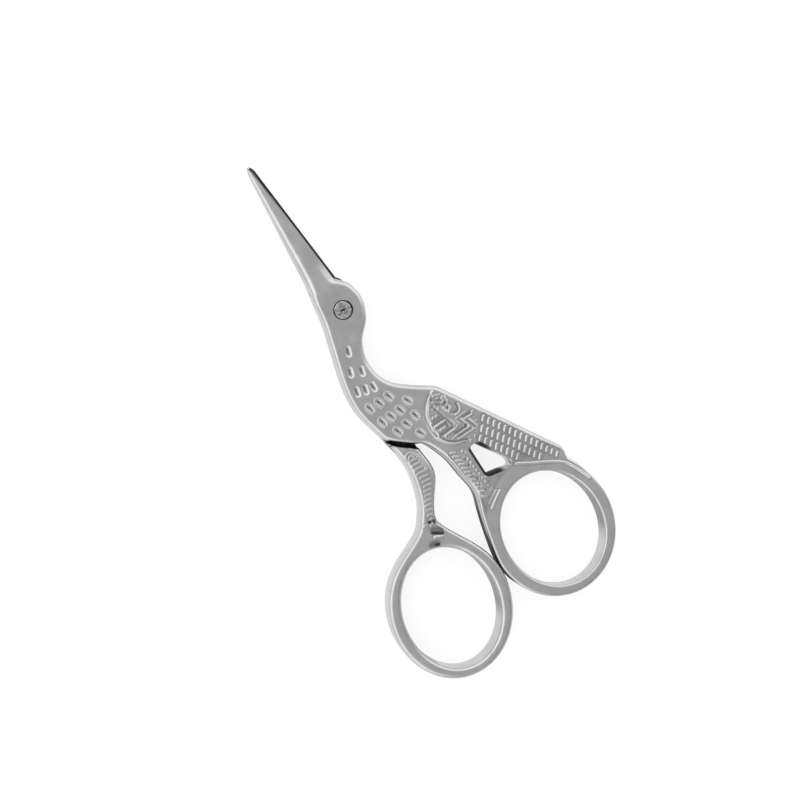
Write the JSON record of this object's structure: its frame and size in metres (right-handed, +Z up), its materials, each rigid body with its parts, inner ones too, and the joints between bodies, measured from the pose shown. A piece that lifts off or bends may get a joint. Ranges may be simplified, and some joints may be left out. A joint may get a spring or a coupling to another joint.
{
  "type": "embroidery scissors",
  "caption": "Stork-shaped embroidery scissors with slender pointed blades, feather relief, oval finger rings and a slotted pivot screw, in plated steel.",
  "frame": {"origin": "centre of the closed scissors' footprint, on the table they lie on", "axes": "+Y along the scissors towards the blade tips, +Z up out of the table, so the decorated front half is on top"},
  "size_m": [0.047, 0.096, 0.0039],
  "materials": {
    "plated_steel": "polished nickel plating over forged steel",
    "screw_steel": "plated slotted screw"
  },
  "bodies": {
    "front": {"front_half": "plated_steel"},
    "rear": {"rear_half": "plated_steel", "pivot_screw": "screw_steel"}
  },
  "joints": [
    {"name": "pivot", "type": "hinge", "parent": "front", "child": "rear", "pos_m": [0.00085, 0.01917, 0.00195], "axis": [0, 0, -1], "range_deg": [0, 90]}
  ]
}
